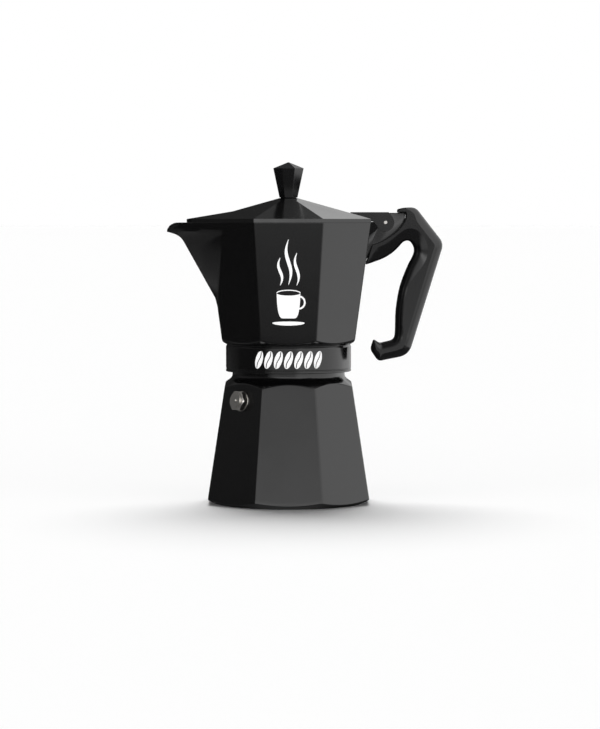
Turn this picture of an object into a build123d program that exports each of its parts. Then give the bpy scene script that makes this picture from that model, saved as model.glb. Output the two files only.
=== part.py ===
from build123d import *
from math import cos, sin, tan, radians, sqrt, pi
import os

# Six-cup stove-top moka pot. Millimetres, +Z up. The origin is the centre of the boiler's base.
# The spout points to -X and the handle to +X. Flats of every octagon face +-X and +-Y.

# ---- driving dimensions -------------------------------------------------------------------
SIDES = 8

BOILER_AP = 52.2            # distance from the axis to a flat, at the table
BOILER_TAPER = 0.150        # how much that distance shrinks per mm of height
BOILER_WALL = 3.6
BOILER_FLOOR = 4.5
BOILER_CEILING = 74.5       # top of the faceted chamber inside
BASE_R = 48.0               # flat round foot left by the conical cut
NECK_R = 36.15
NECK_ROOT_R = 34.9
NECK_BORE_R = 30.6
NECK_TOP = 98.0
THREAD_START = 86.0
THREAD_PITCH = 3.6
THREAD_TURNS = 3

COLLAR_R = 40.3
COLLAR_BORE_R = 36.5
COLLAR_BOTTOM = 85.0
COLLAR_TOP = 102.4
SEAT_Z = 102.0              # turned seat that presses on the gasket
WELL_R = 26.0               # shallow well over the filter plate
WELL_TOP = 104.5
FLOOR_TOP = 108.5

COLLECTOR_Z0 = 104.0        # height at which the taper below starts from COLLECTOR_AP
COLLECTOR_AP = 42.3
COLLECTOR_TAPER = 0.134
COLLECTOR_WALL = 3.0
RIM_Z = 180.6

SPOUT_LOW_Z = 129.3         # where the spout's ridge leaves the facet
SPOUT_BEND = (-67.6, 168.5)  # end of the ridge's straight run, x and z
SPOUT_TIP = (-78.3, 174.6)
LIP_START = -71.0           # where the rim starts to drop toward the tip
LIP_MIDDLE = (-75.9, 179.1)  # halfway down the lip's curve, x and z
SPOUT_ROOT = (-41.0, 33.4)  # where the spout meets the diagonal facets at the rim, x and y
SPOUT_WALL = 2.4
SPOUT_ANGLE = 60.8          # lean of the ridge's straight run, from level
SPOUT_HALF = 45             # half of the V between the spout's sides, in plan

LID_EDGE = 2.3              # height of the lid's upright edge band
LID_SLOPE = 0.285
LID_SKIN = 2.1
LID_TOP_AP = 5.7
LID_TOP_Z = 196.26          # flat under the knob
WASHER_TOP = 193.9          # underside of the lid's flat
GABLE_TIP = -65.5           # front end of the roof over the spout
GABLE_SHOULDER = (-62.0, 10.5)  # corner between the roof's side edge and its tip, x and y
GABLE_FOLD_X = -35.6        # where the roof's top facet meets the lid's own facet
GABLE_SLOPE = 0.165

PIN_X = 62.1
PIN_Z = RIM_Z
PIN_R = 1.2
PIN_HALF = 7.6
EAR_R = 5.7
EAR_IN = 4.35               # the two ears fill EAR_IN..EAR_OUT on each side
EAR_OUT = 7.5
LUG_TOP = 187.2
LUG_END = 55.5
KNUCKLE_R = 5.4
BRACKET_HALF = 4.0

KNOB_Z = 196.6
KNOB_FOOT_AP = 5.8
KNOB_SHOULDER_Z = 215.3
KNOB_SHOULDER_AP = 9.75
KNOB_APEX_Z = 219.2

HANDLE_HALF = 8.5
HANDLE_SLOT_HALF = 4.2
HANDLE_PIN_AT = (67.5, 168.0)
HANDLE_PIN_R = 1.5
HANDLE_PIN_HALF = 6.2       # the pin is blind: its ends stay inside the moulding
HANDLE_SCREW_AT = (60.5, 157.4)  # where the screw's axis leaves the arm's underside, x and z
HANDLE_SCREW_LEAN = 28      # lean of the screw toward the casting, from upright
HANDLE_SCREW_R = 2.0
HANDLE_SCREW_LENGTH = 14.0
SCREW_HEAD_R = 3.5
SCREW_SEAT = 2.4            # how deep the head's seat lies in the arm
WEB_HALF = 3.0              # thin web between the casting's wall and the knuckle

VALVE_Z = 67.2
VALVE_SHANK_R = 4.0
VALVE_HEX_AF = 11.8
VALVE_FACE = 5.0            # how far the hexagon's face stands off the facet
VALVE_END = 6.0             # the same for the end of the round nose on it
VALVE_DEPTH = 8.0           # how far the shank reaches into the boiler
WASHER_T = 0.8
VALVE_NUT_AF = 10.0
FIT = 0.1                   # gap of a screwed or pushed-in piece
REACH = 300.0               # size of a block that stands for everything on one side of a plane

BASKET_R = 29.5
BASKET_SKIN = 0.9
BASKET_FLOOR = 76.0
CONE_BOTTOM = 64.0
TUBE_R = 5.0
TUBE_END = 10.0
FLANGE_R = 34.6
FLANGE_T = 0.8


# ---- helpers ------------------------------------------------------------------------------
def octagon(apothem, z):
    r = apothem / cos(pi / SIDES)
    turns = [(i + 0.5) * 2 * pi / SIDES for i in range(SIDES)]
    pts = [(r * cos(t), r * sin(t)) for t in turns]
    return Plane.XY.offset(z) * make_face(Polyline(*pts, close=True))


def frustum(apothem_low, z_low, apothem_high, z_high):
    return loft([octagon(apothem_low, z_low), octagon(apothem_high, z_high)], ruled=True)


def turned(*pts):
    """Solid of revolution about Z from radius and height pairs."""
    face = make_face(Polyline(*[(r, 0, z) for r, z in pts], close=True))
    return revolve(face, Axis.Z, 360)


def disc(radius, z_low, z_high, x=0, y=0):
    return Pos(x, y, (z_low + z_high) / 2) * Cylinder(radius, z_high - z_low)


def ring(r_out, r_in, z_low, z_high):
    return disc(r_out, z_low, z_high) - disc(r_in, z_low - 1, z_high + 1)


def cross_bar(radius, x, z, half_length):
    """Cylinder along Y."""
    return Pos(x, 0, z) * Rot(90, 0, 0) * Cylinder(radius, 2 * half_length)


def slab(pts, y_low, y_high):
    """Outline in the XZ plane made solid between two y values."""
    face = make_face(Polyline(*[(x, y_low, z) for x, z in pts], close=True))
    return extrude(face, amount=y_high - y_low, dir=(0, 1, 0))


def boiler_ap(z):
    return BOILER_AP - BOILER_TAPER * z


def collector_ap(z):
    return COLLECTOR_AP + COLLECTOR_TAPER * (z - COLLECTOR_Z0)


def hole_grid(radius, pitch, reach, z_low, z_high):
    """Holes on a hexagonal grid inside a circle."""
    spots = []
    steps = int(reach / pitch) + 1
    for i in range(-steps, steps + 1):
        for j in range(-steps, steps + 1):
            x = pitch * (i + j / 2)
            y = pitch * j * sqrt(3) / 2
            if x * x + y * y <= reach * reach:
                spots.append(Pos(x, y, (z_low + z_high) / 2) * Cylinder(radius, z_high - z_low + 2))
    return spots


# ---- boiler and safety valve --------------------------------------------------------------
def thread_profile():
    """Outline of the neck's thread crests, from the bottom up."""
    pts = []
    for i in range(THREAD_TURNS):
        z = THREAD_START + 0.6 + i * THREAD_PITCH
        pts += [(NECK_ROOT_R, z), (NECK_R - 0.05, z + 0.8), (NECK_R - 0.05, z + 1.4), (NECK_ROOT_R, z + 2.2)]
    return pts


def boiler():
    """Cast chamber, turned at the foot, shoulder and neck, and drilled for the valve."""
    outside = frustum(boiler_ap(0), 0, boiler_ap(90), 90)
    lathe = turned(
        (0, 0), (BASE_R, 0), (BASE_R + 12, 6.1), (BASE_R + 12, 60), (46.0, 74.4), (41.6, 77.3),
        (40.3, 78.4), (38.4, 79.4), (36.6, 80.9), (NECK_R, 82.3), (NECK_R, 90), (0, 90))
    neck = turned((0, 60), (NECK_R, 60), (NECK_R, THREAD_START), (NECK_ROOT_R, THREAD_START + 0.4),
                  *thread_profile(), (NECK_ROOT_R, NECK_TOP), (0, NECK_TOP))
    body = (outside & lathe) - Pos(0, 0, THREAD_START + 10) * Box(200, 200, 20) + neck
    chamber = frustum(boiler_ap(BOILER_FLOOR) - BOILER_WALL, BOILER_FLOOR,
                      boiler_ap(BOILER_CEILING) - BOILER_WALL, BOILER_CEILING)
    body = body - chamber - disc(NECK_BORE_R, BOILER_CEILING - 1, NECK_TOP + 1)
    return body - VALVE_SEAT_PLANE * Cylinder(VALVE_SHANK_R + FIT, 20)


def valve_plane():
    """Plane on the facet toward -X-Y, with its normal pointing out of the boiler."""
    a = boiler_ap(VALVE_Z)
    at = (-a / sqrt(2), -a / sqrt(2), VALVE_Z)
    normal = Vector(-1 / sqrt(2), -1 / sqrt(2), BOILER_TAPER).normalized()
    return Plane(origin=at, x_dir=(1 / sqrt(2), -1 / sqrt(2), 0), z_dir=normal)


VALVE_SEAT_PLANE = valve_plane()
WALL_W = -BOILER_WALL     # inner wall face, measured along the valve's axis


def valve_body():
    """Hexagon with turned corners, a round nose and a hollow shank that holds the spring."""
    hexagon = extrude(RegularPolygon(VALVE_HEX_AF / 2, 6, major_radius=False), VALVE_FACE - WASHER_T)
    corner_r = VALVE_HEX_AF / 2 / cos(pi / 6)
    lathe = turned((0, WASHER_T), (5.8, WASHER_T), (corner_r, WASHER_T + 0.7), (corner_r, VALVE_FACE - 0.7),
                   (5.6, VALVE_FACE), (0, VALVE_FACE))
    body = (Pos(0, 0, WASHER_T) * hexagon & lathe) + disc(VALVE_SHANK_R, -VALVE_DEPTH, WASHER_T + 0.1)
    body = body + disc(4.2, VALVE_FACE - 0.1, VALVE_END)
    body = body - disc(2.6, -VALVE_DEPTH - 1, VALVE_END - 2) - disc(1.4, VALVE_END - 3, VALVE_END + 1)
    return VALVE_SEAT_PLANE * body


def valve_washer():
    return VALVE_SEAT_PLANE * ring(6.4, VALVE_SHANK_R + FIT, 0, WASHER_T)


def valve_nut():
    hexagon = extrude(RegularPolygon(VALVE_NUT_AF / 2, 6, major_radius=False), -3.0)
    nut = Pos(0, 0, WALL_W) * hexagon - Cylinder(VALVE_SHANK_R + FIT / 2, 30)
    return VALVE_SEAT_PLANE * nut


def valve_seat():
    return VALVE_SEAT_PLANE * ring(2.55, 1.2, -7.9, -6.4)


def valve_stem():
    """Thin stem through the nose, with the poppet that the spring pushes onto its seat."""
    stem = disc(1.25, -6.2, VALVE_END + 0.9) + disc(2.2, -6.3, -5.3)
    return VALVE_SEAT_PLANE * stem


def valve_spring():
    coil = Helix(pitch=1.45, height=8.4, radius=1.95)
    wire = sweep(Plane(origin=coil @ 0, z_dir=coil % 0) * Circle(0.3), path=coil, is_frenet=True)
    return VALVE_SEAT_PLANE * Pos(0, 0, -4.95) * wire


# ---- coffee basket, gasket, filter --------------------------------------------------------
def funnel():
    """Coffee basket and its tube, spun from one thin sheet."""
    s = BASKET_SKIN
    return turned(
        (TUBE_R - s, TUBE_END), (TUBE_R, TUBE_END), (TUBE_R, CONE_BOTTOM), (BASKET_R, BASKET_FLOOR),
        (BASKET_R, NECK_TOP), (FLANGE_R, NECK_TOP), (FLANGE_R, NECK_TOP + FLANGE_T),
        (BASKET_R - s, NECK_TOP + FLANGE_T), (BASKET_R - s, BASKET_FLOOR + 0.6),
        (TUBE_R - s, CONE_BOTTOM + 0.5))


def funnel_plate():
    plate = disc(BASKET_R - BASKET_SKIN - FIT, BASKET_FLOOR + 0.7, BASKET_FLOOR + 1.5)
    return plate - hole_grid(0.9, 5.6, BASKET_R - 6, BASKET_FLOOR + 0.7, BASKET_FLOOR + 1.5)


def gasket():
    z = NECK_TOP + FLANGE_T + 0.15
    return turned((27.0, z), (35.7, z), (35.7, SEAT_Z - 0.1), (29.3, SEAT_Z - 0.1), (29.3, z + 1.6), (27.0, z + 1.6))


def filter_plate():
    z = NECK_TOP + FLANGE_T + 0.15 + 1.6
    plate = disc(29.2, z, z + 0.8)
    return plate - hole_grid(0.9, 4.6, 24.0, z, z + 0.8)


# ---- collector ----------------------------------------------------------------------------
def spout_section(ridge_x, root_x, root_y, z):
    return Plane.XY.offset(z) * make_face(Polyline((ridge_x, 0), (root_x, root_y), (root_x, -root_y), close=True))


def spout_form(inset, top):
    """The spout's two leaning sides, as a stack of V sections, with the nose rounded in side view."""
    sections = []
    low = SPOUT_LOW_Z + 3 * inset
    spread = inset / sin(radians(SPOUT_HALF))
    bend_x, bend_z = SPOUT_BEND
    tip_x, tip_z = SPOUT_TIP
    steps = 6
    stations = [(low, bend_x + (bend_z - low) / tan(radians(SPOUT_ANGLE))), (bend_z, bend_x)]
    for i in range(1, steps + 1):
        t = i / steps
        z = bend_z + (tip_z - bend_z) * sin(t * pi / 2)
        x = bend_x + (tip_x - bend_x) * (0.45 * t + 0.55 * t * t)
        stations.append((z, x))
    stations.append((top, tip_x - 1.6))
    for z, ridge_x in stations:
        t = (z - SPOUT_LOW_Z) / (RIM_Z - SPOUT_LOW_Z)
        base_x = -collector_ap(SPOUT_LOW_Z)
        root_x = base_x + (SPOUT_ROOT[0] - base_x) * t + 2
        root_y = 18.9 + (SPOUT_ROOT[1] - 18.9) * t + 2 * (1 - t)
        sections.append(spout_section(ridge_x + spread, root_x, root_y - inset * 1.2, z))
    return loft(sections, ruled=True)


def screw_plane():
    """Plane on the arm's underside, with its normal pointing up into the hinge bracket."""
    lean = radians(HANDLE_SCREW_LEAN)
    x, z = HANDLE_SCREW_AT
    return Plane(origin=(x, 0, z), x_dir=(cos(lean), 0, sin(lean)), z_dir=(-sin(lean), 0, cos(lean)))


HANDLE_SCREW_PLANE = screw_plane()


def nose():
    """Side view that rounds the spout's lip."""
    tip_x, tip_z = SPOUT_TIP
    middle_x, middle_z = LIP_MIDDLE
    line = Polyline((-30, 0, RIM_Z), (LIP_START, 0, RIM_Z))
    curve = ThreePointArc((LIP_START, 0, RIM_Z), (middle_x, 0, middle_z), (tip_x, 0, tip_z))
    rest = Polyline((tip_x, 0, tip_z), (tip_x, 0, 120), (-30, 0, 120), (-30, 0, RIM_Z))
    face = make_face(line + curve + rest)
    return extrude(face, amount=60, dir=(0, 1, 0), both=True)


def bracket():
    """Hinge bracket and handle tang, one plate on the collector's +X facet."""
    plate = slab([(46, 157.5), (57, 161.0), (63.5, 165.0), (71.2, 170.2), (71.6, 175.4), (74.4, 181.5),
                  (74.8, 186.9), (66.4, 186.9), (66.4, 175.5), (57.5, 176.2), (50.5, 171.5), (46, 171.5)],
                 -BRACKET_HALF, BRACKET_HALF)
    knuckle = cross_bar(KNUCKLE_R, PIN_X, PIN_Z, BRACKET_HALF)
    post = slab([(57.2, 174), (66.6, 174), (66.6, PIN_Z), (57.2, PIN_Z)], -BRACKET_HALF, BRACKET_HALF)
    web = slab([(49.4, 170), (58.5, 174), (58.5, 180.4), (50.8, 180.4)], -WEB_HALF, WEB_HALF)
    return plate + knuckle + post + web


def collector():
    """Upper casting: collar ring, faceted jug, spout and bracket."""
    shell = frustum(collector_ap(COLLAR_BOTTOM), COLLAR_BOTTOM, collector_ap(RIM_Z), RIM_Z)
    lathe = turned((0, COLLAR_BOTTOM), (39.9, COLLAR_BOTTOM), (COLLAR_R, 85.5), (COLLAR_R, 101.2),
                   (39.6, COLLAR_TOP), (60, 113.4), (60, RIM_Z), (0, RIM_Z))
    collar = turned((0, COLLAR_BOTTOM), (39.9, COLLAR_BOTTOM), (COLLAR_R, 85.5), (COLLAR_R, 86.4),
                    (40.0, 86.6), (40.0, 87.0), (COLLAR_R, 87.2), (COLLAR_R, 101.2), (39.6, COLLAR_TOP),
                    (38, 106), (0, 106))
    outside = (shell & lathe) - Pos(0, 0, 90) * Box(200, 200, 2 * (COLLAR_TOP - 90)) + collar
    outside = outside + (spout_form(0, RIM_Z) & nose()) + bracket()
    cavity = frustum(collector_ap(FLOOR_TOP) - COLLECTOR_WALL, FLOOR_TOP,
                     collector_ap(RIM_Z + 1) - COLLECTOR_WALL, RIM_Z + 1)
    channel = spout_form(SPOUT_WALL, RIM_Z + 6) - Pos(0, 0, 100) * Box(300, 300, 90)
    bore = disc(COLLAR_BORE_R, COLLAR_BOTTOM - 1, SEAT_Z) + disc(WELL_R, SEAT_Z - 1, WELL_TOP)
    body = outside - cavity - channel - bore - disc(7.0, WELL_TOP - 1, FLOOR_TOP + 1)
    screw = HANDLE_SCREW_PLANE * disc(HANDLE_SCREW_R, 0, HANDLE_SCREW_LENGTH + 0.5)
    pins = cross_bar(PIN_R, PIN_X, PIN_Z, 20) + cross_bar(HANDLE_PIN_R, *HANDLE_PIN_AT, 20)
    return body - screw - pins


def column():
    body = turned((0, WELL_TOP), (7.0 - FIT / 2, WELL_TOP), (7.0 - FIT / 2, FLOOR_TOP), (9.2, FLOOR_TOP),
                  (8.6, FLOOR_TOP + 3), (6.4, 162), (5.6, 167), (3.6, 169.6), (0, 170.2))
    body = body - disc(3.2, WELL_TOP - 1, 164) - cross_bar(2.1, 0, 161.5, 12)
    return body


def hinge_pin():
    return cross_bar(PIN_R, PIN_X, PIN_Z, PIN_HALF)


# ---- lid and knob -------------------------------------------------------------------------
def under_plane(origin, a, b):
    """Everything below the plane through three points."""
    normal = (Vector(*a) - Vector(*origin)).cross(Vector(*b) - Vector(*origin))
    if normal.Z < 0:
        normal = normal * -1
    return Plane(origin=origin, z_dir=normal) * Pos(0, 0, -REACH / 2) * Box(REACH, REACH, REACH)


def lid_height(x):
    """Height of the lid's -X facet."""
    return RIM_Z + LID_EDGE + LID_SLOPE * (collector_ap(RIM_Z) + x)


def gable(inset):
    """Roof over the spout: one facet down the middle and a leaning facet on each side."""
    root_x, root_y = SPOUT_ROOT
    shoulder_x, shoulder_y = GABLE_SHOULDER[0] + inset, GABLE_SHOULDER[1] - inset
    fold_y = -GABLE_FOLD_X * tan(pi / SIDES)
    plan = [(GABLE_FOLD_X, fold_y), (root_x, root_y - inset), (shoulder_x, shoulder_y), (GABLE_TIP + inset, 0),
            (shoulder_x, -shoulder_y), (root_x, inset - root_y), (GABLE_FOLD_X, -fold_y), (GABLE_FOLD_X + 10, 0)]
    roof = extrude(Plane.XY.offset(RIM_Z - inset) * make_face(Polyline(*plan, close=True)), 30)
    edge_z = RIM_Z + LID_EDGE - inset
    fold_z = lid_height(GABLE_FOLD_X) - inset
    tip_z = fold_z + GABLE_SLOPE * (GABLE_TIP - GABLE_FOLD_X)
    roof = roof & under_plane((GABLE_FOLD_X, -fold_y, fold_z), (GABLE_FOLD_X, fold_y, fold_z), (GABLE_TIP, 0, tip_z))
    for side in (-1, 1):
        roof = roof & under_plane((root_x, side * root_y, edge_z), (GABLE_FOLD_X, side * fold_y, fold_z),
                                  (GABLE_SHOULDER[0], side * GABLE_SHOULDER[1], edge_z))
    return roof


def spout_corners():
    """The two corners of the octagon that the roof over the spout takes the place of."""
    root_x, root_y = SPOUT_ROOT
    fold_y = -GABLE_FOLD_X * tan(pi / SIDES)
    corners = []
    for side in (-1, 1):
        plan = [(GABLE_FOLD_X, side * fold_y), (root_x, side * root_y), (root_x - 8, side * (root_y + 20)),
                (root_x - 40, side * (root_y + 20)), (root_x - 40, side * fold_y)]
        face = Plane.XY.offset(RIM_Z) * make_face(Polyline(*plan, close=True))
        corners.append(extrude(face, 30))
    return corners


def lid():
    """Pyramid with the roof over the spout in front and the two hinge ears behind."""
    edge_top = RIM_Z + LID_EDGE
    top_z = edge_top + LID_SLOPE * (collector_ap(RIM_Z) - LID_TOP_AP)
    rim_ap = collector_ap(RIM_Z)
    outer = frustum(rim_ap, RIM_Z, rim_ap + 0.01, edge_top) + frustum(rim_ap, edge_top, LID_TOP_AP, top_z)
    inner_ap = rim_ap - LID_EDGE
    inner_z = edge_top - LID_SKIN + LID_SLOPE * LID_EDGE
    hollow = frustum(inner_ap, RIM_Z - 1, inner_ap + 0.01, inner_z)
    hollow = hollow + frustum(inner_ap, inner_z, LID_TOP_AP, inner_z + LID_SLOPE * (inner_ap - LID_TOP_AP))
    body = outer - spout_corners() + gable(0) - hollow - gable(LID_SKIN)
    lug = slab([(40, 183.5), (54.0, 181.2), (LUG_END, 181.2), (LUG_END, LUG_TOP), (40, LUG_TOP)], -EAR_OUT, EAR_OUT)
    body = body + (lug - hollow)
    ear_plate = [(54.5, 181.4), (58.0, 176.7), (PIN_X, PIN_Z), (66.7, 184.0), (64.2, LUG_TOP), (54.5, LUG_TOP)]
    for side in (-1, 1):
        near, far = sorted((side * EAR_IN, side * EAR_OUT))
        ear = slab(ear_plate, near, far)
        lobe = Pos(PIN_X, (near + far) / 2, PIN_Z) * Rot(90, 0, 0) * Cylinder(EAR_R, far - near)
        body = body + ear + lobe
    return body - cross_bar(PIN_R + 0.05, PIN_X, PIN_Z, 20) - disc(2.1, 180, 200)


def knob():
    body = frustum(KNOB_FOOT_AP, KNOB_Z, KNOB_SHOULDER_AP, KNOB_SHOULDER_Z)
    body = body + frustum(KNOB_SHOULDER_AP, KNOB_SHOULDER_Z, 0.4, KNOB_APEX_Z)
    body = body + disc(5.0, LID_TOP_Z, KNOB_Z + 0.5)
    return body - disc(2.0 + FIT / 2, LID_TOP_Z - 1, KNOB_Z + 13)


def knob_washer():
    return ring(4.6, 2.1, WASHER_TOP - 0.8, WASHER_TOP)


def knob_screw():
    head_top = WASHER_TOP - 0.8
    slot = Pos(0, 0, head_top - 2.4) * Box(10, 1.0, 1.6)
    return disc(3.6, head_top - 2.4, head_top) + disc(2.0, head_top - 0.5, KNOB_Z + 12) - slot


# ---- handle -------------------------------------------------------------------------------
def handle_outline():
    """Side view of the handle: angular outside, one long curve inside the grip."""
    outer = Polyline((70.1, 0, 187.1), (70.1, 0, 189.1), (73.9, 0, 190.1), (77.6, 0, 190.3))
    crown = ThreePointArc((77.6, 0, 190.3), (81.4, 0, 189.2), (85.0, 0, 186.0))
    back = Line((85.0, 0, 186.0), (98.0, 0, 169.5))
    elbow = ThreePointArc((98.0, 0, 169.5), (99.0, 0, 167.1), (98.8, 0, 163.5))
    spine = Line((98.8, 0, 163.5), (80.0, 0, 103.8))
    heel = ThreePointArc((80.0, 0, 103.8), (77.0, 0, 97.2), (70.7, 0, 94.0))
    hook = Polyline((70.7, 0, 94.0), (58.4, 0, 91.6), (55.0, 0, 94.6), (53.2, 0, 100.4), (54.9, 0, 104.9),
                    (58.3, 0, 103.0), (65.0, 0, 104.7))
    toe = ThreePointArc((65.0, 0, 104.7), (67.7, 0, 106.6), (68.7, 0, 110.0))
    grip = Spline((68.7, 0, 110.0), (69.1, 0, 124.0), (71.6, 0, 139.0), (76.4, 0, 152.0), (80.6, 0, 160.6))
    arch = ThreePointArc((80.6, 0, 160.6), (79.9, 0, 166.9), (73.8, 0, 168.4))
    under = Spline((73.8, 0, 168.4), (66.1, 0, 160.6), (50.6, 0, 154.0))
    wall_end = Line((50.6, 0, 154.0), (53.7, 0, 166.5))
    gap = Spline((53.7, 0, 166.5), (59.6, 0, 168.5), (65.6, 0, 172.0), (71.0, 0, 176.5), (75.0, 0, 182.4))
    strap = Polyline((75.0, 0, 182.4), (75.4, 0, 187.1), (70.1, 0, 187.1))
    return make_face(outer + crown + back + elbow + spine + heel + hook + toe + grip + arch + under
                     + wall_end + gap + strap)


def handle():
    body = extrude(handle_outline(), amount=HANDLE_HALF, dir=(0, 1, 0), both=True)
    slot = slab([(40, 155.6), (57, 160.7), (63.7, 164.7), (71.5, 169.9), (71.9, 175.3), (74.5, 181.4),
                 (74.9, 187.0), (40, 187.0)], -HANDLE_SLOT_HALF, HANDLE_SLOT_HALF)
    head = HANDLE_SCREW_PLANE * disc(SCREW_HEAD_R + 2 * FIT, -6, SCREW_SEAT)
    screw = HANDLE_SCREW_PLANE * disc(HANDLE_SCREW_R + FIT, 0, HANDLE_SCREW_LENGTH)
    pin = cross_bar(HANDLE_PIN_R, *HANDLE_PIN_AT, HANDLE_PIN_HALF)
    return body - slot - head - screw - pin


def handle_screw():
    low = SCREW_SEAT - 2.0
    head = disc(SCREW_HEAD_R, low, SCREW_SEAT) - Pos(0, 0, low) * Box(10, 1.0, 1.6)
    return HANDLE_SCREW_PLANE * (head + disc(HANDLE_SCREW_R, SCREW_SEAT - 0.2, HANDLE_SCREW_LENGTH))


def handle_pin():
    return cross_bar(HANDLE_PIN_R, *HANDLE_PIN_AT, HANDLE_PIN_HALF)


PARTS = [boiler, valve_body, valve_washer, valve_nut, valve_seat, valve_stem, valve_spring,
         funnel, funnel_plate, gasket, filter_plate, collector, column, hinge_pin,
         lid, knob, knob_washer, knob_screw, handle, handle_screw, handle_pin]

os.makedirs("parts", exist_ok=True)
for make in PARTS:
    shape = make()
    shape.label = make.__name__
    export_step(shape, f"parts/{make.__name__}.step")
    box = shape.bounding_box()
    print(f"{make.__name__:14} {shape.volume:9.0f} mm3  x {box.min.X:7.1f} {box.max.X:7.1f}"
          f"  y {box.min.Y:7.1f} {box.max.Y:7.1f}  z {box.min.Z:7.1f} {box.max.Z:7.1f}")
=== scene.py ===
# %% [markdown]
# # A stove-top coffee pot
# The pot is eight-sided cast aluminium under a black coat, with a moulded black handle and knob.
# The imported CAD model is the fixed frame. It holds every size, and the pieces made here sit where
# it says. A large casting is built again with rounded edges, because what sells a dark object is
# the thin bright line that a light leaves along each edge, and a CAD edge is too sharp for one.

# %% Load the frame
import bmesh
import bpy
from math import atan, cos, hypot, pi, radians, sin, sqrt, tan
from mathutils import Matrix, Vector


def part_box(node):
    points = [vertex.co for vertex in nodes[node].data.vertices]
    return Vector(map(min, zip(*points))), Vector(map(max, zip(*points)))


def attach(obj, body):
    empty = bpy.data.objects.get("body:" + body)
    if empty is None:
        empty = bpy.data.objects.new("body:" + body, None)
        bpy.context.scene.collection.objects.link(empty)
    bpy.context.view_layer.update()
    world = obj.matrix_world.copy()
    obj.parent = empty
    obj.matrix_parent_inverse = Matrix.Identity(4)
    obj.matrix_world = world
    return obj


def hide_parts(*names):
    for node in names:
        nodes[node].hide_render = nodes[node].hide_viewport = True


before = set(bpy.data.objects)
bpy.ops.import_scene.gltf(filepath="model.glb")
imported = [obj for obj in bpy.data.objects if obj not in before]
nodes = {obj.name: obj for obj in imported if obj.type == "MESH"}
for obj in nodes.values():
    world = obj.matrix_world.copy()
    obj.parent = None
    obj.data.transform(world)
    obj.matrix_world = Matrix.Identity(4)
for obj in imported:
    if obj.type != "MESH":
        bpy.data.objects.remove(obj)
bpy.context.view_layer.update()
MM = 0.001

# %% [markdown]
# ## Sizes
# The sizes below are the castings' own, in millimetres. Each height that a neighbour shares is read
# from the frame, so that the pieces meet: the rim from the hinge pin's height, and the neck and the
# collar from the boiler and the collector themselves.

# %% Sizes in millimetres
BOILER_AP, BOILER_TAPER = 52.2, 0.150           # axis to a flat at the table; loss per mm of height
BOILER_WALL, BOILER_FLOOR = 3.6, 4.5
NECK_R, NECK_ROOT_R, NECK_BORE_R = 36.15, 34.9, 30.6
NECK_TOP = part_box("boiler")[1].z / MM
COLLAR_R, COLLAR_BORE_R = 40.3, 36.5
COLLAR_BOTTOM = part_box("collector")[0].z / MM
SEAT_Z = 102.0                                  # turned seat that presses on the gasket
WELL_R, WELL_TOP = 26.0, 104.5                  # shallow well over the filter plate
COLUMN_HOLE_R = 7.0
COLLECTOR_AP, COLLECTOR_TAPER, COLLECTOR_Z0 = 42.3, 0.134, 104.0
COLLECTOR_WALL, COLLECTOR_FLOOR = 3.0, 108.5
PIN_LOW, PIN_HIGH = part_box("hinge_pin")
RIM_Z = (PIN_LOW.z + PIN_HIGH.z) / 2 / MM       # the hinge's axis lies at the height of the rim
PIN_X = (PIN_LOW.x + PIN_HIGH.x) / 2 / MM
SPOUT_LOW = 129.3
TIP_X, TIP_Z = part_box("collector")[0].x / MM, 174.6
LIP_START = -71.0                               # where the rim starts to drop toward the tip
HALF_TURN = tan(pi / 8)
print("rim", round(RIM_Z, 2), "pin", round(PIN_X, 2), "tip", round(TIP_X, 2))

# %% [markdown]
# ## Shared mesh tools
# Three ways of making a piece cover the whole pot. A grid of columns makes the castings, where every
# column is one path up the outside and down the inside. A plate is an outline given a thickness. The
# small turned and sawn parts start from the CAD mesh, which is merged, cleared of needless edges and
# then bevelled.

# %% Mesh tools
def new_object(name, mesh):
    piece = bpy.data.objects.new(name, mesh)
    bpy.context.scene.collection.objects.link(piece)
    return piece


def smooth(mesh, angle=32):
    """Smooth shading, with every edge steeper than the angle kept sharp."""
    mesh.polygons.foreach_set("use_smooth", [True] * len(mesh.polygons))
    mesh.set_sharp_from_angle(angle=radians(angle))
    mesh.update()


def mesh_object(name, points, faces, angle=32):
    """A mesh from points in millimetres, with its doubles merged and its faces turned outward."""
    mesh = bpy.data.meshes.new(name)
    mesh.from_pydata([Vector(p) * MM for p in points], [], faces)
    bm = bmesh.new()
    bm.from_mesh(mesh)
    bmesh.ops.remove_doubles(bm, verts=bm.verts, dist=0.00001)
    bmesh.ops.recalc_face_normals(bm, faces=bm.faces)
    bm.to_mesh(mesh)
    bm.free()
    smooth(mesh, angle)
    return new_object(name, mesh)


def column_grid(name, columns):
    """A closed surface from paths of equal length, side by side all the way round."""
    count, rows = len(columns), len(columns[0])
    points = [p for column in columns for p in column]
    faces = []
    for i in range(count):
        j = (i + 1) % count
        for k in range(rows - 1):
            faces.append((i * rows + k, j * rows + k, j * rows + k + 1, i * rows + k + 1))
    return mesh_object(name, points, faces)


def rounded(corners, steps=4):
    """A path through (point, reach) corners, each corner eased by a short parabola."""
    path = []
    last = len(corners) - 1
    for i, (p, reach) in enumerate(corners):
        p = Vector(p)
        if i in (0, last) or reach == 0:
            path.append(p)
            continue
        before = Vector(corners[i - 1][0]) - p
        after = Vector(corners[i + 1][0]) - p
        d = min(reach, 0.45 * before.length, 0.45 * after.length)
        a = p + before.normalized() * d
        b = p + after.normalized() * d
        for s in range(steps + 1):
            t = s / steps
            path.append(a * (1 - t) ** 2 + p * 2 * t * (1 - t) + b * t * t)
    return path


def join(name, pieces):
    """Several plain meshes made into one object."""
    bm = bmesh.new()
    for piece in pieces:
        bm.from_mesh(piece.data)
        bpy.data.objects.remove(piece)
    mesh = bpy.data.meshes.new(name)
    bm.to_mesh(mesh)
    bm.free()
    return new_object(name, mesh)


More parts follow.
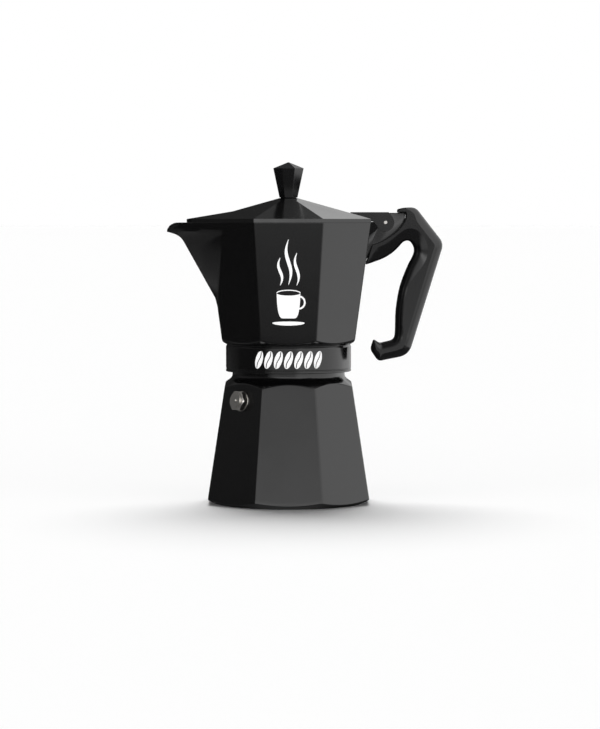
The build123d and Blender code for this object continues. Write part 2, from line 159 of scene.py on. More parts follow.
def keep_flats_flat(piece):
    piece.modifiers.new("flats", "WEIGHTED_NORMAL").keep_sharp = True


def place(piece, body, slot, material, *replaced):
    """Gives a finished piece its finish and its body, and hides the CAD parts that it stands for. The slot
    argument is not used.
    """
    if material is not None:
        piece.data.materials.append(material)
    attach(piece, body)
    if replaced:
        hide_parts(*replaced)
    print(f"{piece.name}: {len(piece.data.polygons)} faces on {body}")


# %% [markdown]
# ## Parts that start from CAD
# The frame's own meshes must stay as they are, so an eased part works on a copy. The copy's loose
# triangles are merged, and flat stretches are dissolved into single faces, because a bevel follows
# the real edges only when no others are in its way.

# %% Tools for CAD copies
def mark_sharp(mesh, is_sharp):
    """Marks as sharp every edge that the test picks."""
    bm = bmesh.new()
    bm.from_mesh(mesh)
    for edge in bm.edges:
        if is_sharp(edge):
            edge.smooth = False
    bm.to_mesh(mesh)
    bm.free()


def long_crease(shortest):
    """A test for a straight crease of at least this length, however shallow its angle is."""
    def test(edge):
        return edge.calc_length() > shortest * MM and edge.calc_face_angle(0) > radians(1.0)
    return test


def clean_copy(name, cad_name, split):
    """The CAD part's mesh, merged. A split cuts its faces at one x, to keep them from growing long."""
    bm = bmesh.new()
    bm.from_mesh(nodes[cad_name].data)
    bmesh.ops.remove_doubles(bm, verts=bm.verts, dist=0.000002)
    bmesh.ops.dissolve_limit(bm, angle_limit=radians(0.4), verts=bm.verts, edges=bm.edges)
    if split is not None:
        bmesh.ops.bisect_plane(bm, geom=bm.verts[:] + bm.edges[:] + bm.faces[:],
                               plane_co=(split * MM, 0, 0), plane_no=(1, 0, 0))
    mesh = bpy.data.meshes.new(name)
    bm.to_mesh(mesh)
    bm.free()
    return mesh


def from_cad(name, cad_name, body, slot, material, width=0.25, segments=2, angle=30, crease=None, split=None):
    """A CAD part with every edge above the angle eased by the width."""
    mesh = clean_copy(name, cad_name, split)
    smooth(mesh, 24)
    if crease:
        mark_sharp(mesh, long_crease(crease))
    piece = new_object(name, mesh)
    bevel = piece.modifiers.new("eased edges", "BEVEL")
    bevel.width = width * MM
    bevel.segments = segments
    bevel.limit_method = "ANGLE"
    bevel.angle_limit = radians(angle)
    bevel.use_clamp_overlap = True
    bevel.miter_outer = "MITER_ARC"
    keep_flats_flat(piece)
    place(piece, body, slot, material, cad_name)
    return piece


print("tools for CAD copies are ready")

# %% [markdown]
# ## Finishes
# Nothing on a real pot has one even gloss. Two effects are used by most finishes, so each is a node
# group: fine grain, which breaks up a highlight as the coat's orange peel does, and handling marks,
# which are broad soft patches that change how sharp a reflection is. A third group draws the fine
# rings of a lathe.

# %% Shared shader groups
def add_node(tree, kind, numbers):
    """A node with its constant inputs set."""
    node = tree.nodes.new(kind)
    for label, value in numbers.items():
        node.inputs[label].default_value = value
    return node


def wire(tree, source, out_label, target, in_label):
    """Carries one node's output to another node's input."""
    tree.links.new(source.outputs[out_label], target.inputs[in_label])


def group_with(name, inputs, outlet_name):
    """An empty group with number inputs and one number output."""
    tree = bpy.data.node_groups.new(name, "ShaderNodeTree")
    for label, value in inputs.items():
        socket = tree.interface.new_socket(label, in_out="INPUT", socket_type="NodeSocketFloat")
        socket.default_value = value
    tree.interface.new_socket(outlet_name, in_out="OUTPUT", socket_type="NodeSocketFloat")
    return tree, tree.nodes.new("NodeGroupInput"), tree.nodes.new("NodeGroupOutput")


def grain_group():
    """Height of a fine speckle, from Object coordinates."""
    tree, inlet, outlet = group_with("fine grain", {"Scale": 900.0, "Coarse Share": 0.4}, "Height")
    coords = tree.nodes.new("ShaderNodeTexCoord")
    fine = add_node(tree, "ShaderNodeTexNoise", {"Detail": 3})
    coarse = add_node(tree, "ShaderNodeTexNoise", {"Scale": 160})
    mix = tree.nodes.new("ShaderNodeMix")
    wire(tree, coords, "Object", fine, "Vector")
    wire(tree, coords, "Object", coarse, "Vector")
    wire(tree, inlet, "Scale", fine, "Scale")
    wire(tree, inlet, "Coarse Share", mix, "Factor")
    wire(tree, fine, "Fac", mix, "A")
    wire(tree, coarse, "Fac", mix, "B")
    wire(tree, mix, "Result", outlet, "Height")
    return tree


def marks_group():
    """Roughness that wanders between two values in broad patches."""
    tree, inlet, outlet = group_with("handling marks", {"Low": 0.2, "High": 0.35, "Scale": 28.0}, "Roughness")
    coords = tree.nodes.new("ShaderNodeTexCoord")
    patches = add_node(tree, "ShaderNodeTexNoise", {"Detail": 6, "Distortion": 0.6})
    spread = add_node(tree, "ShaderNodeMapRange", {"From Min": 0.3, "From Max": 0.7})
    wire(tree, coords, "Object", patches, "Vector")
    wire(tree, inlet, "Scale", patches, "Scale")
    wire(tree, patches, "Fac", spread, "Value")
    wire(tree, inlet, "Low", spread, "To Min")
    wire(tree, inlet, "High", spread, "To Max")
    wire(tree, spread, "Result", outlet, "Roughness")
    return tree


def lathe_group():
    """Height of fine rings about the vertical axis, as a turning tool leaves them."""
    tree, inlet, outlet = group_with("lathe rings", {"Pitch": 2600.0}, "Height")
    coords = tree.nodes.new("ShaderNodeTexCoord")
    parts = tree.nodes.new("ShaderNodeSeparateXYZ")
    flat = tree.nodes.new("ShaderNodeCombineXYZ")
    radius = tree.nodes.new("ShaderNodeVectorMath")
    radius.operation = "LENGTH"
    along = tree.nodes.new("ShaderNodeMath")
    along.operation = "ADD"
    ring_noise = tree.nodes.new("ShaderNodeTexNoise")
    ring_noise.noise_dimensions = "1D"
    ring_noise.inputs["Detail"].default_value = 2
    wire(tree, coords, "Object", parts, "Vector")
    wire(tree, parts, "X", flat, "X")
    wire(tree, parts, "Y", flat, "Y")
    wire(tree, flat, "Vector", radius, 0)
    wire(tree, radius, "Value", along, 0)
    wire(tree, parts, "Z", along, 1)
    wire(tree, along, "Value", ring_noise, "W")
    wire(tree, inlet, "Pitch", ring_noise, "Scale")
    wire(tree, ring_noise, "Fac", outlet, "Height")
    return tree


GRAIN, MARKS, LATHE = grain_group(), marks_group(), lathe_group()
print("shader groups:", GRAIN.name, MARKS.name, LATHE.name)

# %% [markdown]
# A finish starts from one Principled shader. Its constant values are set on its own sockets, and only
# what changes over the surface comes through a link. The coat and the moulding are nearly black, so
# their look is all in how sharp the reflection is.

# %% Finishes
def finish(name, color, low, high, marks_scale=28.0, metal=0.0, bump=0.05, grain=900.0, coarse=0.4,
           rings=0.0, glow=0.0):
    """A material whose roughness wanders from low to high, with a fine bump."""
    material = bpy.data.materials.new(name)
    material.use_nodes = True
    tree = material.node_tree
    shader = tree.nodes["Principled BSDF"]
    shader.inputs["Base Color"].default_value = (*color, 1)
    shader.inputs["Metallic"].default_value = metal
    # A glow above zero is painted light: the surface gives off its own colour as if it were lit.
    shader.inputs["Emission Color"].default_value = (*color, 1)
    shader.inputs["Emission Strength"].default_value = glow
    marks = tree.nodes.new("ShaderNodeGroup")
    marks.node_tree = MARKS
    marks.inputs["Low"].default_value = low
    marks.inputs["High"].default_value = high
    marks.inputs["Scale"].default_value = marks_scale
    wire(tree, marks, "Roughness", shader, "Roughness")
    speckle = tree.nodes.new("ShaderNodeGroup")
    speckle.node_tree = GRAIN
    speckle.inputs["Scale"].default_value = grain
    speckle.inputs["Coarse Share"].default_value = coarse
    height = add_node(tree, "ShaderNodeBump", {"Strength": bump, "Distance": 0.0004})
    wire(tree, speckle, "Height", height, "Height")
    if rings:
        lathe = tree.nodes.new("ShaderNodeGroup")
        lathe.node_tree = LATHE
        turned = add_node(tree, "ShaderNodeBump", {"Strength": rings, "Distance": 0.0003})
        wire(tree, lathe, "Height", turned, "Height")
        wire(tree, height, "Normal", turned, "Normal")
        height = turned
    wire(tree, height, "Normal", shader, "Normal")
    return material


black_coat = finish("black coat", (0.0035, 0.0035, 0.0037), 0.13, 0.19, bump=0.03, coarse=0.5)
black_gloss = finish("black moulding", (0.003, 0.003, 0.0034), 0.10, 0.17, bump=0.02, coarse=0.7)
cast_inside = finish("bare casting", (0.62, 0.62, 0.63), 0.34, 0.48, metal=1.0, bump=0.25, grain=700)
spun_aluminium = finish("spun aluminium", (0.74, 0.74, 0.75), 0.24, 0.34, metal=1.0, bump=0.04, rings=0.35)
nickel = finish("bright nickel", (0.66, 0.64, 0.61), 0.14, 0.24, metal=1.0, bump=0.03, marks_scale=180)
brass = finish("turned brass", (0.66, 0.46, 0.20), 0.22, 0.34, metal=1.0, bump=0.05, marks_scale=180)
silicone = finish("white silicone", (0.72, 0.70, 0.66), 0.48, 0.6, bump=0.08)
red_silicone = finish("red silicone", (0.45, 0.07, 0.05), 0.45, 0.55, bump=0.06)
# The print has a painted glow: an emission in its own colour that keeps it white where the lamps leave it
# grey.
white_print_painted_glow = finish("white print with painted glow", (0.88, 0.88, 0.88), 0.35, 0.45, bump=0.04, glow=0.35)
print("finishes:", len(bpy.data.materials))

# %% [markdown]
# ## Plan outline of the castings
# Both castings are octagons in plan, and the upper one grows a spout. At any height the outline is a
# polygon of ten corners: three octagon corners on each side, the corner where the spout's side leaves
# the casting, and two close together at the spout's ridge. Below the spout the last four just lie on
# the octagon, so one rule serves both castings.

# %% Outline at a height
FACET_STEPS = 8             # points between two corners of the outline
CORNER_STEPS = 4
EDGE_ROUND = 0.9            # how far the rounding of a corner reaches along its sides
RIDGE_HALF = 0.4            # half of the narrow flat along the spout's ridge
BEND_Z = 168.5              # where the spout's ridge starts to curve outward
BEND_OUT, BEND_UP = 2.7, 4.9  # from there to the corner that the curve bends around
RIDGE_SLOPE = 0.558         # how far the ridge goes out per mm of height
SPOUT_SPREAD = 16.4         # how far the spout's root has moved along the facet at the rim


def collector_ap(z):
    return COLLECTOR_AP + COLLECTOR_TAPER * (z - COLLECTOR_Z0)


def ridge_x(z):
    """The spout's ridge: straight, then a parabola out to the tip."""
    start = -collector_ap(SPOUT_LOW)
    if z <= BEND_Z:
        return start - RIDGE_SLOPE * (z - SPOUT_LOW)
    if z >= TIP_Z:
        return TIP_X - 0.2 * (z - TIP_Z)
    bend = Vector((start - RIDGE_SLOPE * (BEND_Z - SPOUT_LOW), BEND_Z))
    knee = bend + Vector((-BEND_OUT, BEND_UP))
    low, high = 0.0, 1.0
    for _ in range(30):
        t = (low + high) / 2
        height = (1 - t) ** 2 * bend.y + 2 * t * (1 - t) * knee.y + t * t * TIP_Z
        low, high = (t, high) if height < z else (low, t)
    return (1 - t) ** 2 * bend.x + 2 * t * (1 - t) * knee.x + t * t * TIP_X


def plan_corners(z, apothem, inset, spout):
    """The ten corners at height z, going round from the handle's side."""
    a = apothem - inset
    corner_r = a / cos(pi / 8)
    corners = [Vector((corner_r * cos(radians(t)), corner_r * sin(radians(t)))) for t in (22.5, 67.5, 112.5)]
    root = Vector((-a, a * HALF_TURN))
    ridge = Vector((-a, RIDGE_HALF))
    if spout and z > SPOUT_LOW:
        share = (z - SPOUT_LOW) / (RIM_Z - SPOUT_LOW)
        root = Vector((-apothem, apothem * HALF_TURN)) + Vector((1, 1)).normalized() * SPOUT_SPREAD * share
        root += Vector((1, -1)).normalized() * inset
        ridge.x = min(-a, ridge_x(z) + inset / sin(radians(45)))
    half = corners + [root, ridge]
    return half + [Vector((p.x, -p.y)) for p in reversed(half)]


def outline(z, apothem, inset=0.0, spout=False):
    """Plan points at height z, each corner rounded, always the same number of them."""
    loop = plan_corners(z, apothem, inset, spout)
    points = []
    for i, corner in enumerate(loop):
        next_corner = loop[(i + 1) % len(loop)]
        before, after = loop[i - 1] - corner, next_corner - corner
        reach_after = min(EDGE_ROUND, 0.45 * after.length)
        start = corner + before.normalized() * min(EDGE_ROUND, 0.45 * before.length)
        end = corner + after.normalized() * reach_after
        stop = next_corner - after.normalized() * reach_after
        for s in range(CORNER_STEPS + 1):
            t = s / CORNER_STEPS
            points.append(start * (1 - t) ** 2 + corner * 2 * t * (1 - t) + end * t * t)
        steps = 1 if after.length < 2 else FACET_STEPS
        points += [end.lerp(stop, s / steps) for s in range(1, steps)]
    return points


POINTS_ROUND = len(outline(20, 48))
print("outline points:", POINTS_ROUND)

# %% [markdown]
# ## Boiler
# The boiler is cast, then its foot, shoulder and neck are turned on a lathe, so the flat facets end in
# scalloped curves where the cutter ran out. A boolean of a cone and a prism would give the curve but
# not a clean rounded edge. Here each column finds its own crossing height, and the path is rounded
# there, so the edge is right all the way round.

# %% Boiler columns
FOOT_R = 48.0                                   # the flat ring that stands on the table
FOOT_SLOPE = 0.508                              # rise of the cut above the foot, per mm outward
FACET_SHARES = (0.04, 0.12, 0.3, 0.5, 0.7, 0.88, 0.96)
NECK_START = 82.8
THREAD_START = 86.5
SHOULDER = [(46.0, 74.4), (41.6, 77.3), (40.3, 78.4), (38.6, 79.5), (37.2, 80.6), (36.4, 81.6),
            (NECK_R, 82.6)]                     # radius and height down the turned shoulder, from outside


def at(direction, radius, z):
    return (direction.x * radius, direction.y * radius, z)


def boiler_ap(z):
    return BOILER_AP - BOILER_TAPER * z


def boiler_point(i, z, inset=0.0):
    return outline(z, boiler_ap(z), inset)[i]


def foot_cut(z):
    return FOOT_R + z / FOOT_SLOPE


def shoulder_radius(z):
    for (r0, z0), (r1, z1) in zip(SHOULDER, SHOULDER[1:]):
        if z <= z1:
            return r0 + (r1 - r0) * (z - z0) / (z1 - z0)
    return NECK_R


def crossing(i, facet_z, cut_z, cut_radius):
    """Height where a column's facet meets a turned cut, by halving between a height on each."""
    for _ in range(30):
        z = (facet_z + cut_z) / 2
        if cut_radius(z) > boiler_point(i, z).length:
            cut_z = z
        else:
            facet_z = z
    return (facet_z + cut_z) / 2


def boiler_column(i):
    """One path out along the foot, up the outside, over the neck and down the inside."""
    foot = crossing(i, 0.5, 6.0, foot_cut)
    top = crossing(i, 80.5, 75.0, shoulder_radius)
    low, high = boiler_point(i, foot), boiler_point(i, top)
    way = high.normalized()
    path = [((0, 0, 0), 0), (at(way, 30, 0), 0), (at(way, FOOT_R, 0), 0.5), ((*low, foot), 0.5)]
    for share in FACET_SHARES:
        z = foot + (top - foot) * share
        path.append(((*boiler_point(i, z), z), 0))
    path.append(((*high, top), 0.55))
    for share in (0.2, 0.4, 0.6, 0.8):
        z = top + (SHOULDER[-1][1] - top) * share
        path.append((at(way, shoulder_radius(z), z), 0))
    path += [(at(way, NECK_R, NECK_START), 0.4), (at(way, NECK_R, THREAD_START - 0.6), 0.3),
             (at(way, NECK_ROOT_R, THREAD_START), 0.3), (at(way, NECK_ROOT_R, NECK_TOP), 0.5),
             (at(way, NECK_BORE_R, NECK_TOP), 0.4), (at(way, NECK_BORE_R, 76.0), 0.4)]
    inner_high = boiler_point(i, 73.0, BOILER_WALL)
    inner_low = boiler_point(i, 7.0, BOILER_WALL)
    path += [((*inner_high, 74.3), 0.6), ((*inner_high, 72.0), 0), ((*inner_low, 7.0), 0),
             ((*(inner_low * 0.97), BOILER_FLOOR + 0.1), 1.2), (at(way, 20, BOILER_FLOOR), 0),
             ((0, 0, BOILER_FLOOR), 0)]
    return rounded(path)


boiler = column_grid("boiler_casting", [boiler_column(i) for i in range(POINTS_ROUND)])
print("boiler height", round(max(v.co.z for v in boiler.data.vertices) / MM, 2), "mm")

# %% [markdown]
# The coat covers only the outside. The inside is left as cast, so the faces are sorted by which way
# they look: any face that looks at the pot's own axis, and the neck under the collar, stays bare.

# %% Coated and bare faces of the boiler
def two_finishes(piece, is_bare):
    """Black coat everywhere, but bare metal on the faces that the test picks."""
    piece.data.materials.append(black_coat)
    piece.data.materials.append(cast_inside)
    for face in piece.data.polygons:
        face.material_index = 1 if is_bare(face.center / MM, face.normal) else 0
    print(piece.name, "bare faces:", sum(face.material_index for face in piece.data.polygons))


def boiler_is_bare(c, normal):
    radius = hypot(c.x, c.y)
    neck = c.z > THREAD_START - 0.3
    inner_wall = 4.4 < c.z < 86 and c.x * normal.x + c.y * normal.y < -0.01 * radius
    inner_floor = 3 < c.z < 6 and normal.z > 0.9 and radius < 46
    return neck or inner_wall or inner_floor


two_finishes(boiler, boiler_is_bare)
place(boiler, "base", "black_coat", None, "boiler")

# %% [markdown]
# ## Collector
# The upper casting is one path too: under the floor, down the collar's bore, up its polished outside,
# out over the turned cone, up the facet or the spout's side, over the rim and down inside. The rim is
# level except at the spout, where it drops in a quarter ellipse to the tip, so each column is stopped
# where it meets that curve.

# %% Collector columns
GROOVE_R = 39.95                                # thin groove turned near the collar's lower edge
CONE_R, CONE_Z = 39.6, 102.4                    # where the turned cone starts above the collar
CONE_SLOPE = (60 - 39.6) / (113.4 - 102.4)
WALL_SHARES = [0.06, 0.15, 0.26, 0.38, 0.5, 0.62, 0.72, 0.79, 0.84, 0.88, 0.905, 0.925, 0.945, 0.96,
               0.975, 0.99]                     # closer together where the spout's lip curves


def cone_cut(z):
    return CONE_R + (z - CONE_Z) * CONE_SLOPE


def rim_height(x):
    """Side view of the rim: level, then the lip's quarter ellipse."""
    if x >= LIP_START:
        return RIM_Z
    reach = min(1.0, (LIP_START - x) / (LIP_START - TIP_X))
    return TIP_Z + (RIM_Z - TIP_Z) * sqrt(1 - reach ** 2)


def wall_point(i, z, inset=0.0):
    p = outline(z, collector_ap(z), inset, spout=True)[i]
    return Vector((p.x, p.y, z))


def top_point(i, inset=0.0):
    """Where a column at this depth in the wall meets the rim."""
    low, high = 150.0, RIM_Z
    for _ in range(24):
        z = (low + high) / 2
        if z < rim_height(wall_point(i, z, inset).x):
            low = z
        else:
            high = z
    return wall_point(i, high, inset)


def cone_point(i):
    """Where a column's facet meets the turned cone."""
    low, high = 103.0, 108.0
    for _ in range(30):
        z = (low + high) / 2
        if cone_cut(z) < wall_point(i, z).xy.length:
            low = z
        else:
            high = z
    return wall_point(i, high)


def collector_column(i):
    """One path from the well to the collar, up the outside, over the rim and down the inside."""
    foot = cone_point(i)
    way = foot.xy.normalized()
    collar = [(COLUMN_HOLE_R, WELL_TOP, 0), (WELL_R, WELL_TOP, 0.4), (WELL_R, SEAT_Z, 0.3),
              (COLLAR_BORE_R, SEAT_Z, 0.4), (COLLAR_BORE_R, COLLAR_BOTTOM, 0.4),
              (COLLAR_R, COLLAR_BOTTOM, 0.5), (COLLAR_R, 86.3, 0.15), (GROOVE_R, 86.5, 0.1),
              (GROOVE_R, 87.0, 0.1), (COLLAR_R, 87.2, 0.15), (COLLAR_R, 101.0, 0.25),
              (CONE_R, CONE_Z - 0.1, 0.3)]
    path = [(at(way, radius, z), reach) for radius, z, reach in collar]
    path.append((foot, 0.6))
    outer_top = top_point(i)
    path += [(wall_point(i, foot.z + (outer_top.z - foot.z) * share), 0) for share in WALL_SHARES]
    inner_top = top_point(i, COLLECTOR_WALL * 0.92)
    path += [(outer_top, 0.35), (top_point(i, COLLECTOR_WALL * 0.5), 0), (inner_top, 0.35)]
    inner_low = COLLECTOR_FLOOR + 2
    for share in reversed(WALL_SHARES):
        path.append((wall_point(i, inner_low + (inner_top.z - inner_low) * share, COLLECTOR_WALL), 0))
    path += [(wall_point(i, COLLECTOR_FLOOR, COLLECTOR_WALL), 2.0), (at(way, 14.0, COLLECTOR_FLOOR), 0),
             (at(way, COLUMN_HOLE_R, COLLECTOR_FLOOR), 0), (at(way, COLUMN_HOLE_R, WELL_TOP), 0)]
    return rounded(path)


def collector_is_bare(c, normal):
    inner_wall = c.z > 103.5 and c.x * normal.x + c.y * normal.y < -0.01
    bore_and_well = c.z < WELL_TOP + 0.1 and hypot(c.x, c.y) < COLLAR_BORE_R + 0.1
    inner_floor = 108 < c.z < 112 and normal.z > 0.5
    return inner_wall or bore_and_well or inner_floor


collector = column_grid("collector_casting", [collector_column(i) for i in range(POINTS_ROUND)])
two_finishes(collector, collector_is_bare)
place(collector, "upper", "black_coat", None, "collector")

# %% [markdown]
# ## Hinge bracket
# A flat plate cast with the collector holds the hinge pin and the handle. Its outline has a round
# knuckle at the pin and a stop behind it. A plate is the simplest honest way: one outline, filled,
# given its thickness, and its edges eased by a bevel.

# %% Plates from an outline
def arc(cx, cz, radius, start, stop, steps=10):
    return [(cx + radius * cos(radians(start + (stop - start) * s / steps)),
             cz + radius * sin(radians(start + (stop - start) * s / steps))) for s in range(steps + 1)]


def plate(name, side_view, y_low, y_high, ease=0.5, segments=3, angle=28):
    """An XZ outline made solid between two y values, in millimetres."""
    bm = bmesh.new()
    low = [bm.verts.new(Vector((x, y_low, z)) * MM) for x, z in side_view]
    high = [bm.verts.new(Vector((x, y_high, z)) * MM) for x, z in side_view]
    bm.faces.new(low)
    bm.faces.new(list(reversed(high)))
    count = len(side_view)
    for i in range(count):
        j = (i + 1) % count
        bm.faces.new((low[j], low[i], high[i], high[j]))
    bmesh.ops.recalc_face_normals(bm, faces=bm.faces)
    if ease:
        sharp = [e for e in bm.edges if e.calc_face_angle(0) > radians(angle)]
        bmesh.ops.bevel(bm, geom=sharp, offset=ease * MM, segments=segments, profile=0.5, affect="EDGES",
                        clamp_overlap=True)
    mesh = bpy.data.meshes.new(name)
    bm.to_mesh(mesh)
    bm.free()
    smooth(mesh, 30)
    return new_object(name, mesh)


BRACKET_HALF = 4.0
KNUCKLE_R = 5.4
bracket_view = [(47.5, 154.3), (49.5, 154.3), (50.3, 157.6), (57, 161.0), (63.5, 165.0), (71.2, 170.2),
                (71.6, 175.4), (74.6, 181.5), (75.0, 187.1), (70.4, 187.05), (70.0, 186.8), (63.6, 186.8)]
bracket_view += arc(PIN_X, RIM_Z, KNUCKLE_R, 74, 215, 12)
bracket_view += [(55.6, 175.2), (50.5, 171.5), (47.5, 171.5)]
bracket = plate("hinge_bracket", bracket_view, -BRACKET_HALF, BRACKET_HALF, ease=0.6)
place(bracket, "upper", "black_coat", black_coat, "collector")

# %% [markdown]
# The plate runs into the casting through a web that widens away from it, as a cast part does where a
# thin wall meets a thick one. It is a short prism whose half width grows with x.

# %% Web between the casting and the bracket
WEB_START, WEB_HALF, WEB_SPREAD = 49.4, 1, 0.22
web_view = [(49.4, 170.0), (58.5, 174.0), (58.5, 181.0), (53.3, 181.0), (52.8, 180.4), (50.8, 180.4)]
web_size = len(web_view)
web_points = [(x, side * (WEB_HALF + WEB_SPREAD * (x - WEB_START)), z)
              for side in (-1, 1) for x, z in web_view]
web_faces = [tuple(range(web_size)), tuple(reversed(range(web_size, 2 * web_size)))]
for i in range(web_size):
    j = (i + 1) % web_size
    web_faces.append((i, j, j + web_size, i + web_size))
place(mesh_object("hinge_web", web_points, web_faces), "upper", "black_coat", black_coat, "collector")

# %% [markdown]
# ## Lid and knob
# The lid is a thin casting and the knob a moulding. Both have the right shape in the CAD model, with
# knife edges, so each is copied and bevelled, the coated lid wider than a machined nut. The lid's
# edge band leans in by a hair, because a cast wall needs draft to leave its mould, and the lean
# also keeps the band from mirroring the same light as the wall below it.

# %% Lid and knob
LID_EDGE_TOP, EDGE_LEAN = 182.9, 0.9971         # height of the band's upper corners; their scale in plan
EAR_START = 39.0                                # the roof is split here, so that no face runs past the ears
lid = from_cad("lid_casting", "lid", "cover", "black_coat", black_coat, width=0.35, segments=3, angle=9,
               crease=6, split=EAR_START)
for corner in lid.data.vertices:
    if abs(corner.co.z / MM - LID_EDGE_TOP) < 0.02:
        corner.co.xy *= EDGE_LEAN
from_cad("knob_moulding", "knob", "cover", "black_plastic", black_gloss, width=0.5, segments=4, angle=9,
         crease=3)

# %% [markdown]
# ## Small turned and sawn parts
# The valve, the pins, the screws, the seal, the tube and the basket are turned, sawn or spun. They
# differ only in finish and in how far a tool or a mould rounds their edges, so one table says it all.

# %% Small parts
SMALL_PARTS = [
    # piece, CAD part, body, slot, finish, bevel width, segments, least angle
    ("valve_hexagon", "valve_body", "base", "steel", nickel, 0.3, 3, 20),
    ("valve_ring", "valve_washer", "base", "steel", nickel, 0.15, 2, 30),
    ("valve_back_nut", "valve_nut", "base", "brass", brass, 0.25, 2, 20),
    ("valve_poppet", "valve_stem", "valve", "steel", nickel, 0.25, 2, 30),
    ("hinge_rod", "hinge_pin", "upper", "steel", nickel, 0.2, 2, 30),
    ("handle_cross_pin", "handle_pin", "upper", "steel", nickel, 0.2, 2, 30),
    ("handle_fixing", "handle_screw", "upper", "steel", nickel, 0.25, 2, 30),
    ("knob_fixing", "knob_screw", "cover", "steel", nickel, 0.25, 2, 30),
    ("knob_ring", "knob_washer", "cover", "steel", nickel, 0.12, 2, 30),
    ("seal_ring", "gasket", "filter", "gasket_rubber", silicone, 0.35, 3, 30),
    ("delivery_tube", "column", "upper", "bare_aluminium", cast_inside, 0.35, 3, 28),
    ("basket_spun", "funnel", "basket", "bare_aluminium", spun_aluminium, 0.18, 2, 28),
]
for name, cad_name, body, slot, material, width, segments, angle in SMALL_PARTS:
    from_cad(name, cad_name, body, slot, material, width, segments, angle)

# %% [markdown]
# The two perforated plates, the spring and the little seat need nothing more than a finish. A bevel
# on some hundred punched holes would cost far more than it would show.

# %% CAD parts that keep their own mesh
for name, material in {"valve_seat": red_silicone, "valve_spring": nickel, "funnel_plate": spun_aluminium,
                       "filter_plate": spun_aluminium}.items():
    nodes[name].data.materials.clear()
    nodes[name].data.materials.append(material)
    print(name, "keeps its mesh, in", material.name)

# %% [markdown]
# ## Handle
# The handle is one moulding: flat sides, a back that rounds over from a soft crease, and a smooth
# finger side. It could be carved with subdivision, but the side view is what everyone knows it by, so
# the outline is drawn once and stacked in layers from the middle plane outward. Each point of the
# outline moves inward by its own amount as the layers near the side, a lot along the back and a
# little along the finger side.

# %% Handle outline
HANDLE_HALF = 8.5
CREST_EASE, CHEEK_EASE = 0.6, 0.5               # how wide the edge is eased, place by place
BACK_EASE, GRIP_EASE, ARM_EASE = 5.2, 4.6, 8.5


def spline_through(points, steps):
    """Catmull-Rom curve through the points, without the last one."""
    path = []
    ends = [points[0]] + list(points) + [points[-1]]
    for a, b, c, d in zip(ends, ends[1:], ends[2:], ends[3:]):
        a, b, c, d = Vector(a), Vector(b), Vector(c), Vector(d)
        for s in range(steps):
            t = s / steps
            path.append((2 * b + (c - a) * t + (2 * a - 5 * b + 4 * c - d) * t * t
                         + (3 * b - a - 3 * c + d) * t ** 3) / 2)
    return path


def eased_corners(points, steps=6):
    """Open path of (x, z, radius) corners with each corner rounded."""
    return [Vector((p.x, p.y)) for p in rounded([((x, z, 0), r) for x, z, r in points], steps)]


def smoothstep(low, high, value):
    t = min(1.0, max(0.0, (value - low) / (high - low)))
    return t * t * (3 - 2 * t)


def with_ease(points, ease_at):
    """Outline points that carry how wide their edge is eased as a third number."""
    return [Vector((p.x, p.y, ease_at(p))) for p in points]


def back_ease(p):
    """A narrow ease on top, over the hinge, that widens to the ease of the back."""
    if p.y < 186:
        return BACK_EASE
    return CREST_EASE + (BACK_EASE - CREST_EASE) * smoothstep(74, 84, p.x)


def finger_ease(p):
    """The grip's ease below, and a rounder one under the arm."""
    return GRIP_EASE + (ARM_EASE - GRIP_EASE) * smoothstep(148, 160, p.y + 80 - p.x)


back = eased_corners([(70.1, 187.1, 0), (70.1, 189.1, 0.6), (73.9, 190.1, 1.5), (81.6, 190.4, 5.5),
                      (99.7, 167.2, 4.2), (77.4, 95.4, 6.5), (57.6, 91.5, 2.5), (52.6, 98.8, 2.5),
                      (54.9, 105.3, 1.2), (58.6, 102.9, 1.2), (68.4, 105.2, 3.8), (68.75, 113.0, 0)], 7)
finger = spline_through([(68.75, 113.0), (69.2, 125.0), (71.6, 139.0), (76.2, 151.6), (80.3, 160.0),
                         (80.6, 164.6), (77.9, 168.6), (74.0, 168.3), (70.4, 164.6), (66.1, 160.7),
                         (59.5, 157.0), (49.6, 153.6)], 6)
cheek = spline_through([(49.6, 153.6), (53.6, 166.4)], 4)
cheek += spline_through([(53.6, 166.4), (59.6, 168.5), (65.6, 172.0), (71.0, 176.5), (75.0, 182.4),
                         (75.4, 187.1)], 5)
cheek.append(Vector((75.4, 187.1)))
side_view = with_ease(back, back_ease)
side_view += with_ease(finger[1:], finger_ease)
side_view += with_ease(cheek, lambda p: CHEEK_EASE)
print("handle outline points:", len(side_view))

# %% [markdown]
# A wide ease in a narrow place would fold the layers over each other. So each point first measures
# the largest circle that fits inside the outline there, and its ease stays within that.

# %% Room for the eased edge
def evenly(points, spacing):
    """The same closed outline with points a fixed distance apart."""
    loop = points + [points[0]]
    lengths = [0.0]
    for a, b in zip(loop, loop[1:]):
        lengths.append(lengths[-1] + (b - a).xy.length)
    count = int(lengths[-1] / spacing)
    result, k = [], 0
    for i in range(count):
        want = lengths[-1] * i / count
        while lengths[k + 1] < want:
            k += 1
        share = (want - lengths[k]) / max(1e-9, lengths[k + 1] - lengths[k])
        result.append(loop[k].lerp(loop[k + 1], share))
    return result


def inward_at(loop, i):
    tangent = (loop[(i + 1) % len(loop)].xy - loop[i - 1].xy).normalized()
    return Vector((tangent.y, -tangent.x))


def room_inside(loop, i):
    """Radius of the largest circle that touches the outline here from inside."""
    p, inward = loop[i].xy, inward_at(loop, i)
    room = 50.0
    for q in loop:
        way = q.xy - p
        depth = way.dot(inward)
        if depth > 0.001:
            room = min(room, way.length_squared / (2 * depth))
    return room


